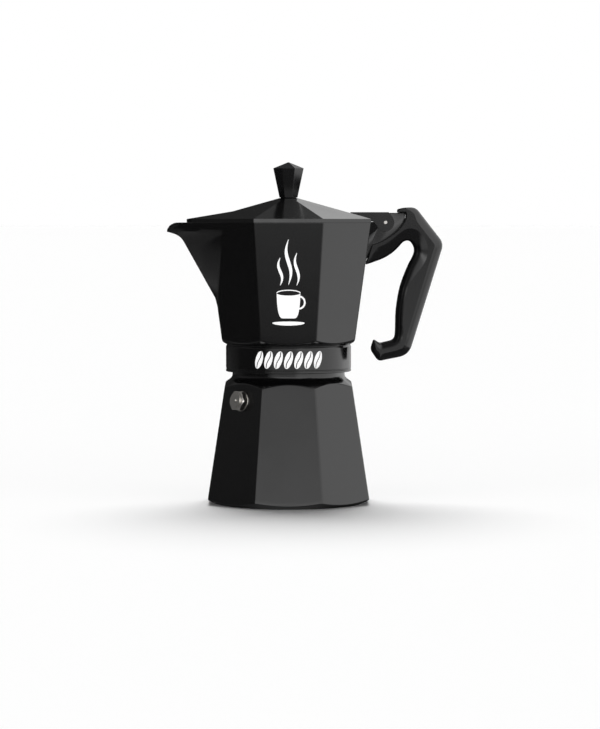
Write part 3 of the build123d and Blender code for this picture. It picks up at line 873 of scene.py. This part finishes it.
def edge_widths(loop):
    """How wide the edge is eased at each point, with no sudden step to the next one."""
    widths = []
    for i, p in enumerate(loop):
        share = 0.8 if p.z <= BACK_EASE else 1.5
        widths.append(min(p.z, share * room_inside(loop, i)))
    for _ in range(3):
        neighbours = zip(widths[-1:] + widths[:-1], widths, widths[1:] + widths[:1])
        widths = [min(own, (before + own + after) / 3) for before, own, after in neighbours]
    return widths


handle_ring = evenly(side_view, 0.8)
handle_widths = edge_widths(handle_ring)
print("points in a layer:", len(handle_ring), "least ease", round(min(handle_widths), 2))

# %% [markdown]
# The layers follow a quarter circle from the crease to the middle plane, on both sides. They are
# closed by one flat face on each side, which keeps the side of the handle perfectly plane.

# %% Handle layers
CREASE = radians(24)        # angle at which the eased edge leaves the flat side
LAYERS = 8
DEEPEST_DROP = 4.6          # the most that an eased edge takes off a side


def handle_layer(side, turn):
    """One layer of the handle, moved inward and off its side as far as the turn says."""
    points = []
    for i, p in enumerate(handle_ring):
        inset = handle_widths[i] * (1 - sin(turn)) / (1 - sin(CREASE))
        drop = min(DEEPEST_DROP, handle_widths[i] * 0.95) * (cos(CREASE) - cos(turn)) / cos(CREASE)
        q = p.xy + inward_at(handle_ring, i) * inset
        points.append((q.x, side * (HANDLE_HALF - drop), q.y))
    return points


def stacked(name, layers, angle):
    """Layers of equal length joined one to the next, and closed by the first and the last."""
    count, last = len(layers[0]), len(layers) - 1
    points = [p for layer in layers for p in layer]
    faces = [tuple(range(count)), tuple(last * count + i for i in reversed(range(count)))]
    for k in range(last):
        for i in range(count):
            j = (i + 1) % count
            faces.append((k * count + i, k * count + j, (k + 1) * count + j, (k + 1) * count + i))
    return mesh_object(name, points, faces, angle)


quarter = [CREASE + (pi / 2 - CREASE) * k / LAYERS for k in range(LAYERS + 1)]
handle_layers = [handle_layer(-1, turn) for turn in quarter]
handle_layers += [handle_layer(1, turn) for turn in reversed(quarter)]
handle = stacked("handle_moulding", handle_layers, 20)
print("handle faces:", len(handle.data.polygons))

# %% [markdown]
# ## Slot, screw pocket and pin hole
# The moulding slides over the bracket, so it has a slot in its middle, a pocket for the leaning screw
# and a hole for the cross pin. All are cut away with exact booleans. The line where a flat side meets
# its eased edge is then kept crisp.

# %% Tools that cut
def keep_result(piece):
    """Replaces a piece's mesh by what its modifiers make of it, and drops the modifiers."""
    bpy.context.view_layer.update()
    mesh = bpy.data.meshes.new_from_object(piece.evaluated_get(bpy.context.evaluated_depsgraph_get()))
    piece.modifiers.clear()
    piece.data = mesh


def cut(piece, *tools):
    """Takes the tools' volume away from a piece, and removes the tools."""
    for tool in tools:
        step = piece.modifiers.new("cut", "BOOLEAN")
        step.operation = "DIFFERENCE"
        step.solver = "EXACT"
        step.object = tool
    keep_result(piece)
    for tool in tools:
        bpy.data.objects.remove(tool)


def peg(radius, low, high, origin, axis=(0, 0, 1), sides=48):
    """A cylinder between two distances along an axis, as a cutting tool."""
    bm = bmesh.new()
    bmesh.ops.create_cone(bm, cap_ends=True, segments=sides, radius1=radius * MM, radius2=radius * MM,
                          depth=(high - low) * MM)
    turn = Vector(axis).normalized().to_track_quat("Z", "Y").to_matrix().to_4x4()
    middle = Matrix.Translation((0, 0, (low + high) / 2 * MM))
    bm.transform(Matrix.Translation(Vector(origin) * MM) @ turn @ middle)
    mesh = bpy.data.meshes.new("peg")
    bm.to_mesh(mesh)
    bm.free()
    return new_object("peg", mesh)


print("cutting tools are ready")

# %% [markdown]
# The screw leans back under the arm, so that its head can be reached from below with a driver. Its
# pocket is wide for the head and then narrow for the shank.

# %% Cut the handle
SCREW_AT = Vector((60.5, 0, 157.4))
SCREW_LEAN = radians(28)
HEAD_R, SHANK_R = 3.7, 2.1
CROSS_PIN_R, CROSS_PIN_AT = 1.5, (67.5, 0, 168.0)
SLOT_HALF = 4.2
SLOT_VIEW = [(40, 155.6), (57, 160.7), (63.7, 164.7), (71.5, 169.9), (71.9, 175.3), (74.5, 181.4),
             (74.9, 187.0), (40, 187.0)]


def at_flat_side(edge):
    """A test for an edge between a flat side of the handle and the eased edge next to it."""
    flat = [abs(face.normal.y) > 0.9999 for face in edge.link_faces]
    return len(flat) == 2 and flat[0] != flat[1]


screw_way = (-sin(SCREW_LEAN), 0, cos(SCREW_LEAN))
cut(handle, plate("slot", SLOT_VIEW, -SLOT_HALF, SLOT_HALF, ease=0),
    peg(HEAD_R, -6, 2.4, SCREW_AT, screw_way), peg(SHANK_R, -6, 14, SCREW_AT, screw_way),
    peg(CROSS_PIN_R, -6.2, 6.2, CROSS_PIN_AT, (0, 1, 0)))
smooth(handle.data, 20)
mark_sharp(handle.data, at_flat_side)
keep_flats_flat(handle)
place(handle, "upper", "black_plastic", black_gloss, "handle")

# %% [markdown]
# The boiler's wall is drilled for the valve in the same way, along the valve's own axis, which stands
# square to the leaning facet.

# %% Valve hole
VALVE_HEIGHT, VALVE_HOLE_R = 67.2, 4.1
valve_axis = Vector((-1, -1, BOILER_TAPER * sqrt(2))).normalized()
valve_spot = Vector((-1, -1, 0)).normalized() * boiler_ap(VALVE_HEIGHT) + Vector((0, 0, VALVE_HEIGHT))
cut(boiler, peg(VALVE_HOLE_R, -8, 4, valve_spot, valve_axis))
smooth(boiler.data, 32)
keep_flats_flat(boiler)
keep_flats_flat(collector)
print("valve axis", [round(v, 3) for v in valve_axis])

# %% [markdown]
# ## Neck thread
# The collector screws onto the boiler's neck. A thread is one profile carried along a spiral, so a
# Geometry Nodes tree makes it: a spiral, swept with a four-sided profile. Its turns, pitch and crest
# are named inputs.

# %% Geometry Nodes tools
def geometry_tree(name, inputs):
    """An empty tree with named inputs; each input is (kind, value)."""
    tree = bpy.data.node_groups.new(name, "GeometryNodeTree")
    for label, (kind, value) in inputs.items():
        socket = tree.interface.new_socket(label, in_out="INPUT", socket_type=kind)
        if value is not None:
            socket.default_value = value
    tree.interface.new_socket("Geometry", in_out="OUTPUT", socket_type="NodeSocketGeometry")
    return tree, tree.nodes.new("NodeGroupInput"), tree.nodes.new("NodeGroupOutput")


def end_tree(tree, geometry, outlet, material):
    """Realise the instances, set the finish and send the result out."""
    realize = tree.nodes.new("GeometryNodeRealizeInstances")
    paint = add_node(tree, "GeometryNodeSetMaterial", {"Material": material})
    tree.links.new(geometry, realize.inputs["Geometry"])
    wire(tree, realize, "Geometry", paint, "Geometry")
    wire(tree, paint, "Geometry", outlet, "Geometry")


def grown(name, tree, values):
    """Run a tree on an empty mesh and keep the result as a plain mesh."""
    piece = new_object(name, bpy.data.meshes.new(name))
    step = piece.modifiers.new("grow", "NODES")
    step.node_group = tree
    sockets = {item.name: item.identifier for item in tree.interface.items_tree if item.in_out == "INPUT"}
    for label, value in values.items():
        step[sockets[label]] = value
    keep_result(piece)
    return piece


print("tree tools are ready")

# %% [markdown]
# The thread has two and a half turns of 3.6 mm each. Its root is the neck's own root, and the swept
# profile stands half in the neck, so the crest runs out of it with no gap.

# %% Thread along a spiral
THREAD_Z, THREAD_PITCH, THREAD_TURNS, THREAD_CREST = 87.7, 3.6, 2.5, 1.1


def thread_tree():
    tree, inlet, outlet = geometry_tree("thread", {
        "Turns": ("NodeSocketFloat", THREAD_TURNS),
        "Rise": ("NodeSocketFloat", THREAD_TURNS * THREAD_PITCH * MM),
        "Root Radius": ("NodeSocketFloat", NECK_ROOT_R * MM),
        "Crest": ("NodeSocketFloat", THREAD_CREST * MM)})
    spiral = add_node(tree, "GeometryNodeCurveSpiral", {"Resolution": 120})
    profile = add_node(tree, "GeometryNodeCurvePrimitiveCircle", {"Resolution": 4})
    sweep = add_node(tree, "GeometryNodeCurveToMesh", {"Fill Caps": True})
    lift = add_node(tree, "GeometryNodeTransform", {"Translation": (0, 0, THREAD_Z * MM)})
    wire(tree, inlet, "Turns", spiral, "Rotations")
    wire(tree, inlet, "Rise", spiral, "Height")
    wire(tree, inlet, "Root Radius", spiral, "Start Radius")
    wire(tree, inlet, "Root Radius", spiral, "End Radius")
    wire(tree, inlet, "Crest", profile, "Radius")
    wire(tree, spiral, "Curve", sweep, "Curve")
    wire(tree, profile, "Curve", sweep, "Profile Curve")
    wire(tree, sweep, "Mesh", lift, "Geometry")
    end_tree(tree, lift.outputs["Geometry"], outlet, cast_inside)
    return tree


thread = grown("neck_thread", thread_tree(), {"Turns": THREAD_TURNS, "Crest": THREAD_CREST * MM})
place(thread, "base", "bare_aluminium", None)

# %% [markdown]
# ## Prints
# A steaming cup is printed on the front facet and a row of coffee beans on the collar. Each is a
# very thin closed body that stands a little proud of the coat, so that it has a real edge. A bean is
# two half ellipses with an S-shaped slit between them, bent to the round of the collar.

# %% One bean
BEAN_HALF_WIDTH, BEAN_HALF_HEIGHT = 2.5, 5.7
BEAN_TILT = radians(16)
SLIT_SWAY, SLIT_HALF = 0.5, 0.32
PRINT_PROUD, PRINT_SUNK = 0.07, 0.25            # how far a print stands out of the coat and into it


def half_bean(side):
    """One half of a bean: half an ellipse, closed by the slit's gentle S."""
    steps = 20
    shape = []
    for s in range(steps + 1):
        t = -pi / 2 + pi * s / steps
        shape.append((side * BEAN_HALF_WIDTH * cos(t), BEAN_HALF_HEIGHT * sin(t)))
    for s in range(1, steps):
        t = 1 - 2 * s / steps
        shape.append((SLIT_SWAY * sin(t * pi) + side * SLIT_HALF, BEAN_HALF_HEIGHT * t * 0.97))
    across, down = cos(BEAN_TILT), sin(BEAN_TILT)
    return [(x * across + z * down, z * across - x * down) for x, z in shape]


bean = join("bean", [plate("half", half_bean(side), -PRINT_PROUD, PRINT_SUNK, ease=0) for side in (-1, 1)])
for corner in bean.data.vertices:
    corner.co.y += COLLAR_R * MM - sqrt((COLLAR_R * MM) ** 2 - corner.co.x ** 2)
print("bean corners:", len(bean.data.vertices))

# %% [markdown]
# The row repeats along an arc, so a Geometry Nodes tree places one bean at every point of the arc
# and turns each one to face straight out from the collar.

# %% Bean row
BEAN_COUNT, BEAN_SPREAD, BEAN_Z = 7, radians(55), 93.9


def bean_row_tree():
    tree, inlet, outlet = geometry_tree("bean row", {
        "Bean": ("NodeSocketObject", None), "Count": ("NodeSocketInt", BEAN_COUNT),
        "Radius": ("NodeSocketFloat", COLLAR_R * MM), "Spread": ("NodeSocketFloat", BEAN_SPREAD)})
    row = tree.nodes.new("GeometryNodeCurveArc")
    start = tree.nodes.new("ShaderNodeMath")            # half the spread before the front
    start.operation = "MULTIPLY_ADD"
    start.inputs[1].default_value = -0.5
    start.inputs[2].default_value = -pi / 2
    spots = tree.nodes.new("GeometryNodeCurveToPoints")
    spots.mode = "EVALUATED"
    source = tree.nodes.new("GeometryNodeObjectInfo")
    copies = tree.nodes.new("GeometryNodeInstanceOnPoints")
    position = tree.nodes.new("GeometryNodeInputPosition")
    inward = tree.nodes.new("ShaderNodeVectorMath")
    inward.operation = "SCALE"
    inward.inputs["Scale"].default_value = -1.0
    facing = tree.nodes.new("FunctionNodeAlignRotationToVector")
    facing.axis = "Y"
    facing.pivot_axis = "Z"
    lift = add_node(tree, "GeometryNodeTransform", {"Translation": (0, 0, BEAN_Z * MM)})
    wire(tree, inlet, "Count", row, "Resolution")
    wire(tree, inlet, "Radius", row, "Radius")
    wire(tree, inlet, "Spread", start, 0)
    wire(tree, start, "Value", row, "Start Angle")
    wire(tree, inlet, "Spread", row, "Sweep Angle")
    wire(tree, row, "Curve", spots, "Curve")
    wire(tree, inlet, "Bean", source, "Object")
    wire(tree, spots, "Points", copies, "Points")
    wire(tree, source, "Geometry", copies, "Instance")
    wire(tree, position, "Position", inward, 0)
    wire(tree, inward, "Vector", facing, "Vector")
    wire(tree, facing, "Rotation", copies, "Rotation")
    wire(tree, copies, "Instances", lift, "Geometry")
    end_tree(tree, lift.outputs["Geometry"], outlet, white_print_painted_glow)
    return tree


beans = grown("bean_row_print", bean_row_tree(), {"Bean": bean, "Count": BEAN_COUNT})
bpy.data.objects.remove(bean)
smooth(beans.data, 30)
place(beans, "upper", "black_coat", None)

# %% [markdown]
# The cup is drawn with ellipses and with strokes that swell in the middle, as a brush leaves them.
# Its shapes are plates of the print's own thickness, laid on the leaning front facet.

# %% Steaming cup
def ellipse(x, z, half_width, half_height, start, stop, step):
    """Points of an ellipse from one angle to another, in degrees."""
    turns = [radians(t) for t in range(start, stop, step)]
    return [(x + half_width * cos(t), z + half_height * sin(t)) for t in turns]


def stroke(middle, widths):
    """A line of changing width as a closed outline."""
    left, right = [], []
    last = len(middle) - 1
    for i, p in enumerate(middle):
        way = (Vector(middle[min(i + 1, last)]) - Vector(middle[max(i - 1, 0)])).normalized()
        side = Vector((-way.y, way.x)) * widths[i] / 2
        left.append(tuple(Vector(p) + side))
        right.append(tuple(Vector(p) - side))
    return left + right[::-1]


def steam(x, low, high, sway, width):
    """One wave of steam, thin at both ends."""
    steps = 26
    middle = [(x + sway * sin(2 * pi * s / steps), low + (high - low) * s / steps) for s in range(steps + 1)]
    return stroke(middle, [0.25 + width * sin(pi * s / steps) for s in range(steps + 1)])


CUP_RIM, CUP_FOOT, CUP_HALF, FOOT_HALF = 24.5, 8.5, 7.4, 3.4
cup_side = []
for t in range(10, 90, 8):
    cup_side.append((FOOT_HALF + (CUP_HALF - FOOT_HALF) * cos(radians(t)) ** 0.7,
                     CUP_RIM - (CUP_RIM - CUP_FOOT) * sin(radians(t))))
cup_side.append((FOOT_HALF, CUP_FOOT))
bowl = ellipse(0, CUP_RIM, CUP_HALF, 1.5, 180, 361, 12) + cup_side
bowl += [(-x, z) for x, z in reversed(cup_side)]
back_rim = ellipse(0, CUP_RIM, CUP_HALF, 1.9, 4, 177, 8)
ear = ellipse(6.6, 18.6, 3.6, 3.9, -100, 101, 10)
saucer = ellipse(0, 5.6, 10.2, 1.7, 180, 361, 10) + ellipse(0, 5.6, 10.2, 0.9, 10, 180, 10)
outlines = [bowl, stroke(back_rim, [0.6] * len(back_rim)), stroke(ear, [1.1] * len(ear)), saucer,
            steam(-5.2, 29.5, 47.0, 1.2, 1.6), steam(0.0, 30.0, 58.5, 1.5, 2.0),
            steam(5.2, 29.5, 50.0, 1.2, 1.6)]
cup_plates = [plate("shape", shape, -PRINT_PROUD, PRINT_SUNK, ease=0) for shape in outlines]
cup = join("steaming_cup_print", cup_plates)
CUP_LOW = 112.0
facet_lean = Matrix.Rotation(atan(COLLECTOR_TAPER), 4, "X")
facet_spot = Matrix.Translation((0, -collector_ap(CUP_LOW) * MM, CUP_LOW * MM))
cup.data.transform(facet_spot @ facet_lean)
smooth(cup.data, 30)
place(cup, "upper", "black_coat", white_print_painted_glow)

# %% [markdown]
# ## Light and view
# Dark glossy things are lit by what they reflect, so the room is drawn for the reflections alone: a
# bright sheet on the right, a lower one in front, one behind for the lid, and a dark left. The floor
# is lit apart from that, by a soft sun from behind that lays the shadow in front. The prints face away
# from that sun and get a painted glow in their own colour, which keeps them white.

# %% Floor
floor_mesh = bpy.data.meshes.new("floor")
floor_mesh.from_pydata([(-40, -6, 0), (40, -6, 0), (40, 80, 0), (-40, 80, 0)], [], [(0, 1, 2, 3)])
floor = new_object("floor", floor_mesh)
paper = bpy.data.materials.new("white paper")
paper.use_nodes = True
paper_shader = paper.node_tree.nodes["Principled BSDF"]
paper_shader.inputs["Base Color"].default_value = (1, 1, 1, 1)
paper_shader.inputs["Roughness"].default_value = 0.9
paper_shader.inputs["Specular IOR Level"].default_value = 0.0
floor.data.materials.append(paper)
floor.visible_glossy = False
print("floor", [round(v) for v in floor.dimensions], "m")

# %% [markdown]
# Each sheet of light is a product of soft steps: one for each direction in which the sheet ends. The
# three numbers of a direction are x to the right, y away from the viewer and z up. The strengths
# come from trying: the sheets are as bright as it takes for the coat to show its facets.

# %% Tools for the room's light
scene = bpy.context.scene
scene.view_settings.view_transform = "Standard"
world = bpy.data.worlds.new("studio")
scene.world = world
world.use_nodes = True
sky = world.node_tree


def sky_ramp(value, low, high, top=1.0, bottom=0.0):
    """Smooth step of one direction component."""
    step = add_node(sky, "ShaderNodeMapRange",
                    {"From Min": low, "From Max": high, "To Min": bottom, "To Max": top})
    step.interpolation_type = "SMOOTHSTEP"
    sky.links.new(value, step.inputs["Value"])
    return step.outputs["Result"]


def sky_fall(value, low, high, bottom=0.0):
    """Smooth step that falls from one to the bottom value."""
    return sky_ramp(value, low, high, bottom, 1.0)


def sky_math(operation, first, *others):
    """One kind of sum over any number of values or sockets."""
    for other in others:
        node = sky.nodes.new("ShaderNodeMath")
        node.operation = operation
        for socket, value in zip(node.inputs, (first, other)):
            if isinstance(value, (int, float)):
                socket.default_value = value
            else:
                sky.links.new(value, socket)
        first = node.outputs["Value"]
    return first


toward = sky.nodes.new("ShaderNodeTexCoord")
direction = sky.nodes.new("ShaderNodeSeparateXYZ")
sky.links.new(toward.outputs["Generated"], direction.inputs["Vector"])
sx, sy, sz = [direction.outputs[axis] for axis in "XYZ"]
print("room:", world.name)

# %% [markdown]
# The left is dark, with a little more light below and behind, so that its facets read as charcoal
# and not as a hole. The right is the brightest. In front a low sheet lights the flat facets from
# below, with a gap at eye level and a narrow strip over it that only the rounded edges catch.

# %% Sheets of light
def times(*factors):
    return sky_math("MULTIPLY", *factors)


dark_left = times(sky_ramp(sz, -0.1, 0.25, 0.16, 0.03), sky_fall(sy, 0.4, 0.8, 0.25))
low_left = times(sky_ramp(sz, -0.36, -0.22, 0.0, 0.17), sky_fall(sy, 0.62, 0.8, 0.1))
left_back = times(sky_ramp(sx, -0.6, -0.3, 0.0, 0.13), sky_ramp(sy, 0.12, 0.35), sky_fall(sz, -0.07, -0.02))
dark_side = sky_math("MAXIMUM", dark_left, low_left, left_back)
overhead = times(sky_ramp(sz, 0.42, 0.54, 0.10), sky_fall(sz, 0.65, 0.85, 0.2))

high_right = times(sky_ramp(sx, 0.08, 0.34, 1.6), sky_ramp(sz, -0.40, -0.12))
low_right = times(sky_ramp(sx, 0.55, 0.85, 1.6), sky_ramp(sz, -0.52, -0.30))
right_sheet = times(sky_math("MAXIMUM", high_right, low_right), sky_fall(sy, 0.6, 0.85, 0.55))

in_front = sky_fall(sy, -0.88, -0.74)
level_gap = times(sky_ramp(sz, -0.05, -0.005), sky_ramp(sz, 0.04, 0.10, 0.0, 0.55))
front_low = times(in_front, sky_ramp(sz, -0.32, -0.20), sky_math("SUBTRACT", 1.0, level_gap))
edge_strip = times(sky_ramp(sz, 0.07, 0.11, 2.0), sky_fall(sz, 0.15, 0.19), in_front)
front_sheet = sky_math("ADD", front_low, edge_strip)

back_sheet = times(sky_ramp(sy, 0.75, 0.88, 0.98), sky_ramp(sz, 0.18, 0.30), sky_fall(sz, 0.44, 0.54),
                   sky_ramp(sx, 0.0, 0.07))
reflected = sky_math("ADD", dark_side, overhead,
                     sky_math("MAXIMUM", right_sheet, front_sheet, back_sheet))
print("light nodes:", len(sky.nodes))

# %% [markdown]
# Reflections see the sheets, and everything matt sees a plain, dim room with some fill from the
# front. The background itself is plain white, as in a catalogue.

# %% What each kind of ray sees
studio = sky.nodes["Background"]
sky.links.new(reflected, studio.inputs["Strength"])
front_fill = times(sky_ramp(sy, -0.5, -0.1, 0.0, 1.2), sky_fall(sz, 0.35, 0.6))
room = sky.nodes.new("ShaderNodeBackground")
sky.links.new(sky_math("ADD", front_fill, 0.08), room.inputs["Strength"])
plain = sky.nodes.new("ShaderNodeBackground")
for background in (studio, room, plain):
    background.inputs["Color"].default_value = (1, 1, 1, 1)
ray = sky.nodes.new("ShaderNodeLightPath")


def pick(choice, otherwise, chosen):
    """One background for rays of a kind, another for the rest."""
    node = sky.nodes.new("ShaderNodeMixShader")
    sky.links.new(choice, node.inputs["Fac"])
    sky.links.new(otherwise, node.inputs[1])
    sky.links.new(chosen, node.inputs[2])
    return node.outputs["Shader"]


seen = pick(ray.outputs["Is Glossy Ray"], room.outputs["Background"], studio.outputs["Background"])
seen = pick(ray.outputs["Is Camera Ray"], seen, plain.outputs["Background"])
sky.links.new(seen, sky.nodes["World Output"].inputs["Surface"])
print("backgrounds:", studio.name, room.name, plain.name)

# %% [markdown]
# The sun is very wide, so the shadow in front of the pot has no hard edge. It is hidden from
# reflections, where it would show as a hot spot on every rounded edge.

# %% Soft sun
sun_data = bpy.data.lights.new("soft sun", "SUN")
sun_data.energy = 2.9
sun_data.angle = radians(50)
sun = bpy.data.objects.new("soft sun", sun_data)
sun.rotation_euler = Vector((0, -0.5, -0.866)).to_track_quat("-Z", "Y").to_euler()
sun.visible_glossy = False
scene.collection.objects.link(sun)
print("sun energy", round(sun_data.energy, 2))

# %% [markdown]
# The eye is a long way off and a little below the rim, so the sides stay nearly upright and only a
# sliver of the lid's far side shows. The lens follows from the distance and the height of the view.

# %% Camera
VIEW_DISTANCE, EYE_HEIGHT, VIEW_HEIGHT = 1.806, 0.1823, 0.4702      # metres
SENSOR_WIDTH = 36.0
AIM = Vector((0.0074, 0.0, 0.0891))
camera_data = bpy.data.cameras.new("camera")
camera = bpy.data.objects.new("camera", camera_data)
scene.collection.objects.link(camera)
camera.location = (0.0, -VIEW_DISTANCE, EYE_HEIGHT)
camera.rotation_euler = (AIM - camera.location).to_track_quat("-Z", "Y").to_euler()
camera_data.sensor_width = SENSOR_WIDTH
camera_data.lens = SENSOR_WIDTH * (AIM - camera.location).length / VIEW_HEIGHT
scene.camera = camera
print("lens", round(camera_data.lens, 1), "mm")
